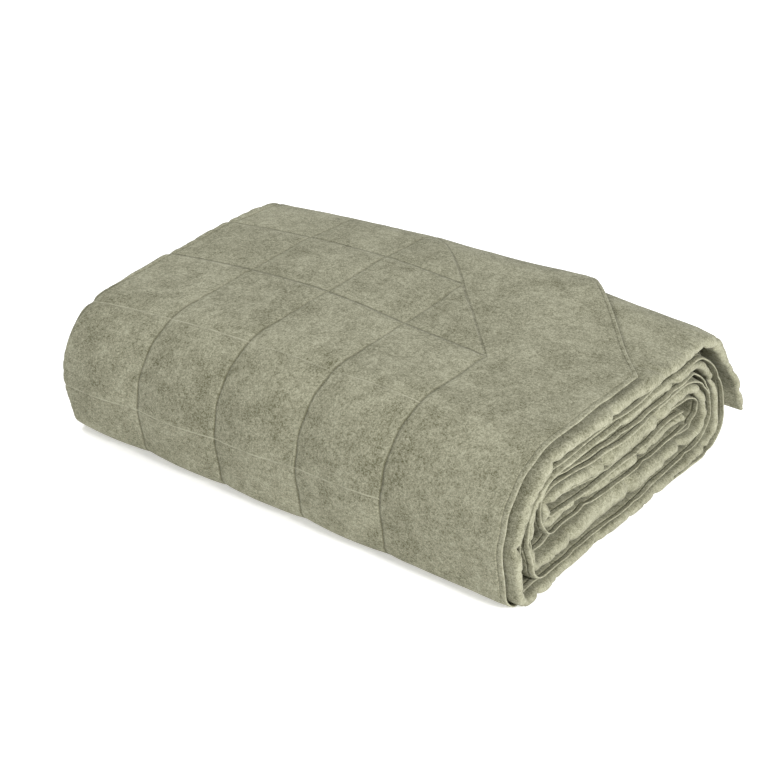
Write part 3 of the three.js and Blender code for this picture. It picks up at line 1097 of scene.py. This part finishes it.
@dataclass
class ClothPiece:
    """One length of the cloth as a closed mesh: both faces and their rims.

    Attributes:
        name: Name of the piece.
        start: Where it starts along the cloth, mm.
        end: Where it ends, mm.
        pitch: Distance between rows, mm.
        stations: Its columns across the strip.
        stops: Distances along the cloth that must be rows.
    """

    name: str
    start: float
    end: float
    pitch: float
    stations: list[Station]
    stops: tuple[float, ...]

    def rows(self, length: float) -> Array:
        """Distances along the cloth, close together at the cloth's own ends.

        Args:
            length: Of the whole cloth, mm.

        Returns:
            Rising distances, mm.
        """
        hem = np.array(Columns.HEM)
        low = self.start + (hem if self.start == 0 else np.array([0.0]))
        high = self.end - (hem[::-1] if self.end == length else np.array([0.0]))
        stops = [low[-1], *(s for s in self.stops if low[-1] < s < high[0]), high[0]]
        rows = [low[:-1]]
        for a, b in zip(stops, stops[1:]):
            count = max(1, round((b - a) / self.pitch))
            rows.append(np.linspace(a, b, count + 1)[:-1])
        return np.concatenate(rows + [high])

    @staticmethod
    def shell(rows: int, columns: int) -> Array:
        """Quads of a closed shell: the grid of the outer face, that of the
        inner face turned over, and a band of quads round the border.

        Args:
            rows: Rows of points of each face.
            columns: Columns of points.

        Returns:
            Four point numbers a quad; the inner face's follow the outer's.
        """
        index = np.arange(rows * columns).reshape(rows, columns)
        corners = [index[:-1, :-1], index[:-1, 1:], index[1:, 1:], index[1:, :-1]]
        top = np.stack(corners, axis=-1).reshape(-1, 4)
        under = top[:, ::-1] + rows * columns
        ring = np.concatenate([index[0, :-1], index[:-1, -1], index[-1, :0:-1], index[:0:-1, 0]])
        after = np.roll(ring, -1)
        band = np.stack([after, ring, ring + rows * columns, after + rows * columns], axis=-1)
        return np.concatenate([top, under, band])

    def build(self, cloth: FoldedCloth) -> bpy.types.Object:
        """Make the mesh, its flat UV map and its distance to the hem.

        Args:
            cloth: The quilt's function.

        Returns:
            The object, linked to the scene.
        """
        faced = cloth.sides(self.rows(cloth.quilting.length), self.stations)
        points = np.concatenate([faced.outer.reshape(-1, 3), faced.inner.reshape(-1, 3)])
        quads = self.shell(*faced.hem.shape)
        mesh = bpy.data.meshes.new(self.name)
        mesh.from_pydata(points, [], quads.tolist())
        uv = mesh.uv_layers.new(name="cloth")
        loops = np.empty(len(mesh.loops), dtype=np.int32)
        mesh.loops.foreach_get("vertex_index", loops)
        flat = np.concatenate([faced.flat.reshape(-1, 2)] * 2)
        uv.data.foreach_set("uv", flat[loops].astype(np.float32).ravel())
        hem = mesh.attributes.new("hem", "FLOAT", "POINT")
        hem.data.foreach_set("value", np.tile(faced.hem.ravel(), 2).astype(np.float32))
        mesh.polygons.foreach_set("use_smooth", np.ones(len(quads), dtype=bool))
        merge_close(mesh)
        mesh.set_sharp_from_angle(angle=RIM_ANGLE)
        piece = bpy.data.objects.new(self.name, mesh)
        bpy.context.scene.collection.objects.link(piece)
        LOG.info("%s: %d triangles", self.name, sum(len(p.vertices) - 2 for p in mesh.polygons))
        return piece


def merge_close(mesh: bpy.types.Mesh) -> None:
    """Merge points that coincide, as along the hems.

    Args:
        mesh: The mesh, changed in place.
    """
    work = bmesh.new()
    work.from_mesh(mesh)
    bmesh.ops.remove_doubles(work, verts=work.verts, dist=MERGE)
    bmesh.ops.dissolve_degenerate(work, edges=work.edges, dist=NO_LENGTH)
    work.to_mesh(mesh)
    work.free()


class ClothNodes:
    """A material's node tree, with short ways to add to it. Its patterns read
    the cloth's own flat UV map, in metres."""

    def __init__(self, material: bpy.types.Material) -> None:
        """Empty the material's tree and add the UV map.

        Args:
            material: The material, changed in place.
        """
        material.use_nodes = True
        material.node_tree.nodes.clear()
        self.add, self.link = material.node_tree.nodes.new, material.node_tree.links.new
        uv = self.add("ShaderNodeUVMap")
        uv.uv_map = "cloth"
        self.flat = uv.outputs[0]

    def noise(self, scale: float, detail: float, rough: float, bent: float = 0.0) -> Socket:
        """A noise on the flat cloth.

        Args:
            scale: Swings per metre.
            detail: How many finer layers it has.
            rough: Their strength.
            bent: How far it is distorted.

        Returns:
            Its value.
        """
        node = self.add("ShaderNodeTexNoise")
        node.inputs["Scale"].default_value = scale
        node.inputs["Detail"].default_value = detail
        node.inputs["Roughness"].default_value = rough
        node.inputs["Distortion"].default_value = bent
        self.link(self.flat, node.inputs["Vector"])
        return node.outputs["Fac"]

    def ramp(self, value: Socket, low: float, high: float) -> Socket:
        """Stretch low..high to 0..1, eased.

        Args:
            value: The value to stretch.
            low: Values up to this become 0.
            high: Values from this on become 1.

        Returns:
            The stretched value.
        """
        node = self.add("ShaderNodeMapRange")
        node.interpolation_type = "SMOOTHSTEP"
        node.inputs["From Min"].default_value = low
        node.inputs["From Max"].default_value = high
        self.link(value, node.inputs["Value"])
        return node.outputs["Result"]

    def near(self, distance: Socket, width: float) -> Socket:
        """1 on a line, easing to 0 at its width."""
        return self.ramp(distance, width, 0.0)

    def mix(self, share: Socket | float, a: Socket | Colour, b: Socket | Colour) -> Socket:
        """Blend two colours.

        Args:
            share: 0 for the first, 1 for the second.
            a: The first colour.
            b: The second colour.

        Returns:
            The blend.
        """
        node = self.add("ShaderNodeMix")
        node.data_type = "RGBA"
        self.link(share, node.inputs["Factor"])
        # a Mix node's inputs 6 and 7 and its output 2 are its colours
        for value, socket in ((a, node.inputs[6]), (b, node.inputs[7])):
            if isinstance(value, tuple):
                socket.default_value = (*value, 1.0)
            else:
                self.link(value, socket)
        return node.outputs[2]

    def compute(self, kind: str, *values: Socket | float) -> Socket:
        """A Math node.

        Args:
            kind: Its operation.
            values: One to three numbers or sockets.

        Returns:
            Its result.
        """
        node = self.add("ShaderNodeMath")
        node.operation = kind
        for value, socket in zip(values, node.inputs):
            if isinstance(value, (int, float)):
                socket.default_value = value
            else:
                self.link(value, socket)
        return node.outputs[0]

    def between(self, share: Socket, pair: tuple[float, float]) -> Socket:
        """From the first of two numbers to the second."""
        return self.compute("MULTIPLY_ADD", share, pair[1] - pair[0], pair[0])

    def off(self, value: Socket, place: float) -> Socket:
        """Distance from a place: |value - place|."""
        return self.compute("ABSOLUTE", self.compute("SUBTRACT", value, place))

    def repeated(self, value: Socket, first: float, pitch: float) -> Socket:
        """Distance to the nearest of a row of even lines from the first on."""
        past = self.compute("SUBTRACT", value, first - pitch / 2)
        return self.off(self.compute("FLOORED_MODULO", past, pitch), pitch / 2)


@dataclass
class ClothLines:
    """Sockets that say where the cloth's lines are, distances in metres.

    Attributes:
        front: 0 on the pack's top, 1 on its front.
        to_row: Distance to the nearest row of stitches.
        to_column: Distance to the nearest column, or to the cut.
        to_hem: Distance to the nearest hem.
        to_stitch: Distance to the hem's own stitches.
        to_fold: Distance to the right-hand fold.
    """

    front: Socket
    to_row: Socket
    to_column: Socket
    to_hem: Socket
    to_stitch: Socket
    to_fold: Socket


@dataclass(frozen=True)
class Flecks:
    """A noise, and the range of its values that is stretched to 0..1.

    Attributes:
        scale: Swings per metre.
        detail: How many finer layers it has.
        rough: Their strength.
        low: Values up to this become 0.
        high: Values from this on become 1.
        bent: How far it is distorted.
    """

    scale: float
    detail: float
    rough: float
    low: float
    high: float
    bent: float = 0.0

    def build(self, nodes: ClothNodes) -> Socket:
        """Add the noise to a material's nodes."""
        noise = nodes.noise(self.scale, self.detail, self.rough, self.bent)
        return nodes.ramp(noise, self.low, self.high)


@dataclass(frozen=True)
class WashedCotton:
    """Stone-washed cotton: a grey green ground with cloudy lighter and darker
    patches, fine flecks, pale worn thread on the rows, painted shade in the
    grooves of the stitched lines and painted highlights beside the columns and
    on the rows of the front. A pair of numbers is for the top of the pack and
    its front, a width is in metres."""

    dark: Colour = (0.092, 0.089, 0.044)
    pale: Colour = (0.425, 0.418, 0.305)
    tone: float = 0.52  # mean share of the pale colour
    # scale of each layer of unevenness, per metre, and its strength
    layers: tuple[tuple[float, float], ...] = (
        (11.0, 0.13), (40.0, 0.14), (95.0, 0.12), (200.0, 0.17), (410.0, 0.32), (830.0, 0.37),
    )
    # of each layer: detail, roughness, the range that is stretched, distortion
    layer_noise: tuple[float, ...] = (1.0, 0.5, 0.33, 0.67, 0.8)
    roughness: float = 0.92
    specular: float = 0.12
    sheen: float = 0.06
    sheen_roughness: float = 0.6
    front_from: float = 0.42  # metres along
    front_to: float = 0.54
    on_line: float = 0.0006  # a point this close to the border line is on it
    patchy: Flecks = Flecks(150.0, 3.0, 0.7, 0.42, 0.58)
    patches: Flecks = Flecks(36.0, 3.0, 0.6, 0.40, 0.56)
    # painted shade in the grooves of the columns, rows and hem stitches, darker on the columns
    # down the front and on the rows on the top, where the light falls across them: width and
    # strength
    column_width: float = 0.0024
    column_groove_shade: tuple[float, float] = (0.26, 0.60)
    row_width: float = 0.0019
    row_groove_shade: tuple[float, float] = (0.52, 0.0)
    stitch_width: float = 0.0011
    stitch_groove_shade: float = 0.28
    # painted highlight on the flanks beside the columns; pale worn thread on the rows, with
    # painted highlight where the rows on the front catch the light; paler along the hems and the
    # fold
    beside_width: float = 0.0080
    flank_highlight: float = 0.30
    worn_and_highlit_width: float = 0.0015
    worn_and_highlit_patches: tuple[float, float] = (0.35, 0.95)
    rows_worn_and_highlit: tuple[float, float] = (0.35, 1.0)
    hem_width: float = 0.0030
    fold_width: float = 0.0080
    fold_pale: float = 0.6
    edge_flecks: tuple[float, float] = (0.25, 0.75)
    # bump: strength and height of the weave and of the sewn lines
    weave: tuple[float, float] = (0.7, 0.0009)
    weave_noise: tuple[float, float, float, float] = (420.0, 4.0, 0.7, 0.8)
    sewn: tuple[float, float] = (0.9, 0.0016)
    sewn_row: float = 0.0018
    sewn_rows: tuple[float, float] = (1.0, 0.3)
    sewn_column: float = 0.0030
    sewn_hem: float = 0.0016
    sewn_hem_share: float = 0.4

    def lines(self, nodes: ClothNodes, quilting: Quilting) -> ClothLines:
        """Work out the distances to all lines, as the mesh does. Where there
        is no such line, a whole metre is added.

        Args:
            nodes: The material's nodes.
            quilting: Where the stitched lines are.

        Returns:
            The distances.
        """
        compute = nodes.compute
        parts = nodes.add("ShaderNodeSeparateXYZ")
        nodes.link(nodes.flat, parts.inputs[0])
        across, along = parts.outputs[0], parts.outputs[1]
        border, end_border = quilting.border * MM, quilting.end_border * MM
        past_border = compute("MAXIMUM", along, end_border)
        to_corner = compute("SUBTRACT", quilting.corner * MM, past_border)
        cut = compute("MULTIPLY", compute("MAXIMUM", to_corner, 0.0), quilting.slope())
        past_line = compute("SUBTRACT", across, compute("ADD", cut, border))
        inside_a = compute("GREATER_THAN", along, end_border - self.on_line)
        inside = compute("MULTIPLY", compute("GREATER_THAN", past_line, -self.on_line), inside_a)
        to_fold = nodes.off(across, quilting.fold_at * MM)
        plain = compute("LESS_THAN", to_fold, quilting.plain_half * MM)
        none = compute("ADD", compute("SUBTRACT", 1.0, inside), plain)
        to_row = compute("ADD", nodes.repeated(along, end_border, quilting.row * MM), none)
        to_column = compute("ADD", nodes.repeated(across, border, quilting.column * MM), none)
        to_cut = compute("ADD", compute("ABSOLUTE", past_line), compute("SUBTRACT", 1.0, inside_a))
        hem = nodes.add("ShaderNodeAttribute")
        hem.attribute_name = "hem"
        to_hem = hem.outputs["Fac"]
        return ClothLines(
            nodes.ramp(along, self.front_from, self.front_to),
            to_row,
            compute("MINIMUM", to_column, to_cut),
            to_hem,
            nodes.off(to_hem, quilting.stitch_in * MM),
            to_fold,
        )

    def coloured(self, nodes: ClothNodes, lines: ClothLines) -> Socket:
        """The ground's uneven layers, with painted shade in the stitched grooves,
        pale worn thread on the rows and painted highlights beside the columns and
        on the front's rows.

        Args:
            nodes: The material's nodes.
            lines: Where the cloth's lines are.

        Returns:
            The colour.
        """
        compute, near, front = nodes.compute, nodes.near, lines.front
        tone: Socket | float = self.tone - sum(strength for _, strength in self.layers) / 2
        for scale, strength in self.layers:
            layer = Flecks(scale, *self.layer_noise).build(nodes)
            tone = compute("MULTIPLY_ADD", layer, strength, tone)
        colour = nodes.mix(tone, self.dark, self.pale)
        patchy, patches = self.patchy.build(nodes), self.patches.build(nodes)
        # painted shade in the stitched grooves: strongest on columns down the front and on rows on
        # the top
        column = near(lines.to_column, self.column_width)
        groove_shade = compute("MULTIPLY", column, nodes.between(front, self.column_groove_shade))
        row = near(lines.to_row, self.row_width)
        row = compute("MULTIPLY", row, nodes.between(front, self.row_groove_shade))
        hem = compute("MULTIPLY", near(lines.to_stitch, self.stitch_width), self.stitch_groove_shade)
        groove_shade = compute("MAXIMUM", compute("MAXIMUM", groove_shade, row), hem)
        colour = nodes.mix(groove_shade, colour, self.dark)
        # painted highlight on the flanks beside the columns, patchy
        beside = compute("SUBTRACT", self.flank_highlight, groove_shade)
        beside = compute("MULTIPLY", near(lines.to_column, self.beside_width), beside)
        # pale worn thread on the rows, with painted highlight that is strongest on the front's
        # rows
        worn_and_highlit = nodes.between(patches, self.worn_and_highlit_patches)
        worn_and_highlit = compute("MULTIPLY", near(lines.to_row, self.worn_and_highlit_width), worn_and_highlit)
        worn_and_highlit = compute("MULTIPLY", worn_and_highlit, nodes.between(front, self.rows_worn_and_highlit))
        worn_and_highlit = compute("MAXIMUM", worn_and_highlit, compute("MULTIPLY", beside, patchy))
        fold = compute("MULTIPLY", near(lines.to_fold, self.fold_width), self.fold_pale)
        edges = compute("MAXIMUM", near(lines.to_hem, self.hem_width), fold)
        edges = compute("MULTIPLY", edges, nodes.between(patchy, self.edge_flecks))
        return nodes.mix(compute("MAXIMUM", worn_and_highlit, edges), colour, self.pale)

    def bumped(self, nodes: ClothNodes, lines: ClothLines) -> Socket:
        """The weave's fine bumps, and the sewn lines pressed in.

        Args:
            nodes: The material's nodes.
            lines: Where the cloth's lines are.

        Returns:
            The normal.
        """
        compute = nodes.compute
        weave, sewn = nodes.add("ShaderNodeBump"), nodes.add("ShaderNodeBump")
        for bump, (strength, height) in ((weave, self.weave), (sewn, self.sewn)):
            bump.inputs["Strength"].default_value = strength
            bump.inputs["Distance"].default_value = height
        nodes.link(nodes.noise(*self.weave_noise), weave.inputs["Height"])
        rows = nodes.between(lines.front, self.sewn_rows)
        pressed = compute("MULTIPLY", nodes.near(lines.to_row, self.sewn_row), rows)
        pressed = compute("MAXIMUM", pressed, nodes.near(lines.to_column, self.sewn_column))
        hem = compute("MULTIPLY", nodes.near(lines.to_stitch, self.sewn_hem), self.sewn_hem_share)
        sewn.invert = True
        nodes.link(compute("MAXIMUM", pressed, hem), sewn.inputs["Height"])
        nodes.link(weave.outputs[0], sewn.inputs["Normal"])
        return sewn.outputs[0]

    def build(self, quilting: Quilting) -> bpy.types.Material:
        """Make the material from the cloth's own flat UV map.

        Args:
            quilting: Where the stitched lines are.

        Returns:
            The material.
        """
        material = bpy.data.materials.new("washed_cotton")
        nodes = ClothNodes(material)
        output = nodes.add("ShaderNodeOutputMaterial")
        shader = nodes.add("ShaderNodeBsdfPrincipled")
        nodes.link(shader.outputs[0], output.inputs[0])
        shader.inputs["Roughness"].default_value = self.roughness
        shader.inputs["Specular IOR Level"].default_value = self.specular
        shader.inputs["Sheen Weight"].default_value = self.sheen
        shader.inputs["Sheen Roughness"].default_value = self.sheen_roughness
        lines = self.lines(nodes, quilting)
        nodes.link(self.coloured(nodes, lines), shader.inputs["Base Color"])
        nodes.link(self.bumped(nodes, lines), shader.inputs["Normal"])
        return material


@dataclass
class FoldedQuilt:
    """The quilt: five lengths of one cloth, dressed."""

    cloth: FoldedCloth
    finish: WashedCotton
    # where the lengths meet along the cloth, and their rows' pitches, mm
    front_end: float = 758.0
    pleats_end: float = 1480.0
    shown_pitch: float = 2.62
    under_pitch: float = 2.5
    inner_pitch: float = 3.0
    column_steps: int = 44  # stations from one stitched column to the next
    # widths of the cloth when it lies flat, metres
    outer_width: float = 0.68
    inner_width: float = 1.88

    def build(self) -> list[bpy.types.Object]:
        """Build the pieces, dress them and tie them to the frame.

        Returns:
            The pieces.
        """
        quilting = self.cloth.quilting
        corner, length = quilting.corner, quilting.length
        fine = Columns.fine_outer(quilting, self.column_steps)
        coarse, inner = Columns.coarse_outer(), Columns.inner()
        last_row = length - quilting.border + 1
        lines = tuple(np.arange(quilting.end_border, last_row, quilting.row))
        plan = [
            ClothPiece("quilt_top", 0, corner, self.shown_pitch, fine, lines),
            ClothPiece("quilt_front", corner, self.front_end, self.shown_pitch, fine, lines),
            ClothPiece("quilt_under", self.front_end, length, self.under_pitch, coarse, lines),
            ClothPiece("quilt_pleats", 0, self.pleats_end, self.inner_pitch, inner, lines),
            ClothPiece("quilt_core", self.pleats_end, length, self.inner_pitch, inner, lines),
        ]
        material = self.finish.build(quilting)
        made = []
        for part in plan:
            piece = part.build(self.cloth)
            piece.data.materials.append(material)
            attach(piece, "root")
            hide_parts("quilt")
            made.append(piece)
        return made


@dataclass(frozen=True)
class SoftLamp:
    """A soft square lamp that faces the pack.

    Attributes:
        name: Its name.
        at: Its place, metres.
        size: Its side, metres.
        power: Its power, watts.
        aim: What it faces, metres.
    """

    name: str
    at: tuple[float, float, float]
    size: float
    power: float
    aim: tuple[float, float, float] = (0, 0, 0.1)

    def build(self) -> None:
        """Hang up the lamp."""
        light = bpy.data.lights.new(self.name, "AREA")
        light.size, light.energy = self.size, self.power
        lamp = bpy.data.objects.new(self.name, light)
        lamp.location = self.at
        facing = (Vector(self.aim) - Vector(self.at)).to_track_quat("-Z", "Y")
        lamp.rotation_euler = facing.to_euler()
        bpy.context.scene.collection.objects.link(lamp)


@dataclass
class Studio:
    """Pale floor, soft lights and the camera; lengths in metres, angles in
    degrees."""

    floor_half: float = 12.0
    floor_drop: float = 0.0005
    floor_grey: float = 0.94
    floor_roughness: float = 0.9
    floor_glow: float = 0.42
    sky: float = 0.38
    lamps: tuple[SoftLamp, ...] = (
        SoftLamp("key", (-1.9, 0.1, 2.3), 1.2, 50.0),
        SoftLamp("fill", (3.0, -0.8, 1.7), 0.8, 106.0),
    )
    eye: tuple[float, float, float] = (1.4676, -1.9451, 1.4680)
    tilt: float = 59.95
    turn: float = 37.5
    lens: float = 112.5
    sensor: float = 36.0
    sight: float = 50.0  # how far the camera sees

    def build(self) -> None:
        """Make floor, world, lights and camera."""
        self.floor()
        world = bpy.data.worlds.new("studio")
        world.use_nodes = True
        world.node_tree.nodes["Background"].inputs[0].default_value = (1, 1, 1, 1)
        world.node_tree.nodes["Background"].inputs[1].default_value = self.sky
        bpy.context.scene.world = world
        bpy.context.scene.view_settings.view_transform = "Standard"
        for lamp in self.lamps:
            lamp.build()
        camera = bpy.data.cameras.new("camera")
        camera.lens = self.lens
        camera.sensor_width = self.sensor
        camera.clip_end = self.sight
        viewer = bpy.data.objects.new("camera", camera)
        viewer.location = self.eye
        viewer.rotation_euler = (math.radians(self.tilt), 0.0, math.radians(self.turn))
        bpy.context.scene.collection.objects.link(viewer)
        bpy.context.scene.camera = viewer

    def floor(self) -> None:
        """Lay a plain pale floor, which glows a little so that it is white."""
        floor, r = bpy.data.meshes.new("floor"), self.floor_half
        floor.from_pydata([(-r, -r, 0), (r, -r, 0), (r, r, 0), (-r, r, 0)], [], [(0, 1, 2, 3)])
        stand = bpy.data.objects.new("floor", floor)
        stand.location.z = -self.floor_drop
        bpy.context.scene.collection.objects.link(stand)
        paint = bpy.data.materials.new("pale_floor")
        paint.use_nodes = True
        shader = paint.node_tree.nodes["Principled BSDF"]
        shader.inputs["Base Color"].default_value = (*(self.floor_grey,) * 3, 1)
        shader.inputs["Roughness"].default_value = self.floor_roughness
        shader.inputs["Emission Color"].default_value = (1, 1, 1, 1)
        shader.inputs["Emission Strength"].default_value = self.floor_glow
        floor.materials.append(paint)


def main() -> None:
    """Build the studio and the quilt."""
    logging.basicConfig(level=logging.INFO, format="%(name)s %(message)s")
    Studio().build()
    section = RollSection()
    cloth = FoldedCloth(section, PleatedStrip(section), Quilting(), Settling())
    FoldedQuilt(cloth, WashedCotton()).build()


if __name__ == "__main__":
    main()
